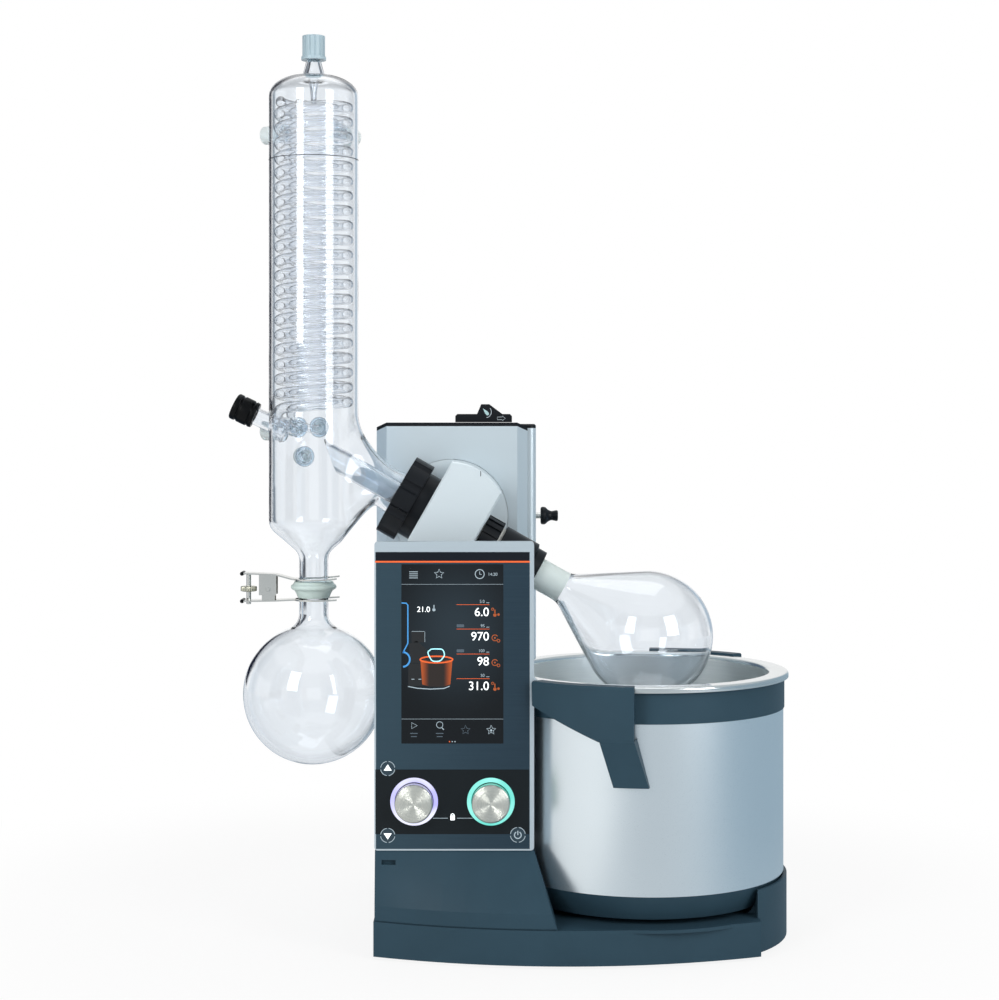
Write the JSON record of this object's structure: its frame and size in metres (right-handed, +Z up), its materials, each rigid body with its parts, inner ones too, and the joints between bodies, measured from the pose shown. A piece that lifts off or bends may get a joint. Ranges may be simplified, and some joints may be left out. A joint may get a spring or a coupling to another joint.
{
  "type": "rotary evaporator",
  "caption": "Rotary evaporator with an upright coil condenser, a tilting drive that spins a pear-shaped flask over a round heating bath, a lift column and a control panel.",
  "frame": {"origin": "on the bench under the middle of the machine's outline", "axes": "+Z up, -Y towards the operator, +X towards the heating bath"},
  "size_m": [0.5254, 0.3649, 0.8395],
  "materials": {
    "silver_paint": "satin silver paint",
    "dark_plastic": "fine-textured moulding",
    "black_plastic": "satin black moulding",
    "grey_cap": "moulded screw cap",
    "clear_glass": "clear borosilicate",
    "panel_glass": "gloss dark front",
    "display": "display",
    "board": "printed board",
    "light_ring": "lit ring",
    "brushed_metal": "spun metal",
    "steel": "bright steel",
    "aluminium": "machined",
    "polymer": "bearing polymer",
    "joint_ring": "pale clip ring",
    "rubber": "rubber"
  },
  "bodies": {
    "base": {"base_shell": "dark_plastic", "base_plate": "steel", "rubber_feet": "rubber", "console": "dark_plastic", "panel_frame": "silver_paint", "rear_box": "dark_plastic", "panel_glass": "panel_glass", "display_module": "display", "control_board": "board", "light_rings": "light_ring", "pedestal_housing": "silver_paint", "column_housing": "silver_paint", "column_cover": "silver_paint", "column_cap": "black_plastic", "guide_rods": "steel", "actuator_tube": "aluminium", "mains_inlet": "black_plastic"},
    "knob_shaft_left": {"knob_shaft_left": "steel"},
    "knob_shaft_right": {"knob_shaft_right": "steel"},
    "knob_left": {"knob_left": "brushed_metal"},
    "knob_right": {"knob_right": "brushed_metal"},
    "depth_stop": {"depth_stop": "steel"},
    "stop_knob": {"stop_knob": "black_plastic"},
    "head": {"head_shell": "silver_paint", "head_cap": "black_plastic", "lift_carriage": "aluminium", "carriage_bushes": "polymer", "actuator_rod": "steel", "tilt_bearing": "aluminium"},
    "tilt_slider": {"tilt_slider": "black_plastic"},
    "drive": {"tilt_drum": "silver_paint", "end_shield": "aluminium", "coupling_spigot": "black_plastic", "motor_stator": "aluminium", "drive_bearings": "steel", "shaft_seal": "polymer", "condenser_jacket": "clear_glass", "condenser_coil": "clear_glass", "port_caps": "grey_cap", "clip_upper_jaw": "steel", "joint_ring": "joint_ring", "receiving_flask": "clear_glass"},
    "rotor": {"hollow_shaft": "steel", "motor_rotor": "steel", "vapour_tube": "clear_glass", "clamp_sleeve": "black_plastic", "evaporating_flask": "clear_glass"},
    "union_nut": {"union_nut": "black_plastic"},
    "clamp_ring": {"clamp_ring": "black_plastic"},
    "clamp_button": {"clamp_button": "black_plastic"},
    "top_cap": {"top_cap": "grey_cap"},
    "side_cap": {"side_cap": "black_plastic"},
    "clip_lower_jaw": {"clip_lower_jaw": "steel"},
    "clip_nut": {"clip_nut": "steel"},
    "bath": {"bath_pot": "steel", "bath_band": "dark_plastic", "bath_jacket": "silver_paint", "bath_foot": "dark_plastic", "bath_heater": "aluminium", "bath_handles": "dark_plastic"}
  },
  "joints": [
    {"name": "lift_slide", "type": "slide", "parent": "base", "child": "head", "axis": [0, 0, 1], "range_m": [-0.05, 0.095]},
    {"name": "drive_tilt", "type": "hinge", "parent": "head", "child": "drive", "pos_m": [-0.0536, -0.036, 0.3864], "axis": [0, 1, 0], "range_deg": [-4, 10]},
    {"name": "flask_spin", "type": "hinge", "parent": "drive", "child": "rotor", "pos_m": [-0.05562, -0.036, 0.38283], "axis": [0.8704, 0, -0.4924], "continuous": true},
    {"name": "union_nut_turn", "type": "hinge", "parent": "drive", "child": "union_nut", "pos_m": [-0.09478, -0.036, 0.40499], "axis": [0.8704, 0, -0.4924], "range_deg": [0, 360]},
    {"name": "clamp_ring_turn", "type": "hinge", "parent": "rotor", "child": "clamp_ring", "pos_m": [-0.02081, -0.036, 0.36313], "axis": [0.8704, 0, -0.4924], "range_deg": [0, 180]},
    {"name": "clamp_button_push", "type": "slide", "parent": "rotor", "child": "clamp_button", "axis": [0, 1, 0], "range_m": [0, 0.0015], "stiffness_N_per_m": 600},
    {"name": "tilt_release_slide", "type": "slide", "parent": "head", "child": "tilt_slider", "axis": [1, 0, 0], "range_m": [0, 0.006], "stiffness_N_per_m": 300},
    {"name": "depth_stop_slide", "type": "slide", "parent": "base", "child": "depth_stop", "axis": [0, 0, 1], "range_m": [-0.07, 0.06]},
    {"name": "stop_knob_turn", "type": "hinge", "parent": "depth_stop", "child": "stop_knob", "pos_m": [0.04, 0.111, 0.382], "axis": [1, 0, 0], "range_deg": [0, 360]},
    {"name": "knob_left_push", "type": "slide", "parent": "base", "child": "knob_shaft_left", "axis": [0, 1, 0], "range_m": [0, 0.001], "stiffness_N_per_m": 900},
    {"name": "knob_left_turn", "type": "hinge", "parent": "knob_shaft_left", "child": "knob_left", "pos_m": [-0.083, -0.142, 0.1396], "axis": [0, 1, 0], "continuous": true},
    {"name": "knob_right_push", "type": "slide", "parent": "base", "child": "knob_shaft_right", "axis": [0, 1, 0], "range_m": [0, 0.001], "stiffness_N_per_m": 900},
    {"name": "knob_right_turn", "type": "hinge", "parent": "knob_shaft_right", "child": "knob_right", "pos_m": [-0.0148, -0.142, 0.1396], "axis": [0, 1, 0], "continuous": true},
    {"name": "bath_lift", "type": "slide", "parent": "base", "child": "bath", "axis": [0, 0, 1], "range_m": [0, 0.04]},
    {"name": "top_cap_turn", "type": "hinge", "parent": "drive", "child": "top_cap", "pos_m": [-0.1817, -0.036, 0.828], "axis": [0, 0, 1], "range_deg": [0, 360]},
    {"name": "side_cap_turn", "type": "hinge", "parent": "drive", "child": "side_cap", "pos_m": [-0.24623, -0.036, 0.48764], "axis": [-0.9011, 0, 0.4337], "range_deg": [0, 360]},
    {"name": "clip_open", "type": "hinge", "parent": "drive", "child": "clip_lower_jaw", "pos_m": [-0.2237, -0.036, 0.3164], "axis": [0, 1, 0], "range_deg": [0, 8]},
    {"name": "clip_nut_turn", "type": "hinge", "parent": "drive", "child": "clip_nut", "pos_m": [-0.2427, -0.036, 0.3164], "axis": [0, 0, 1], "range_deg": [0, 360]}
  ]
}
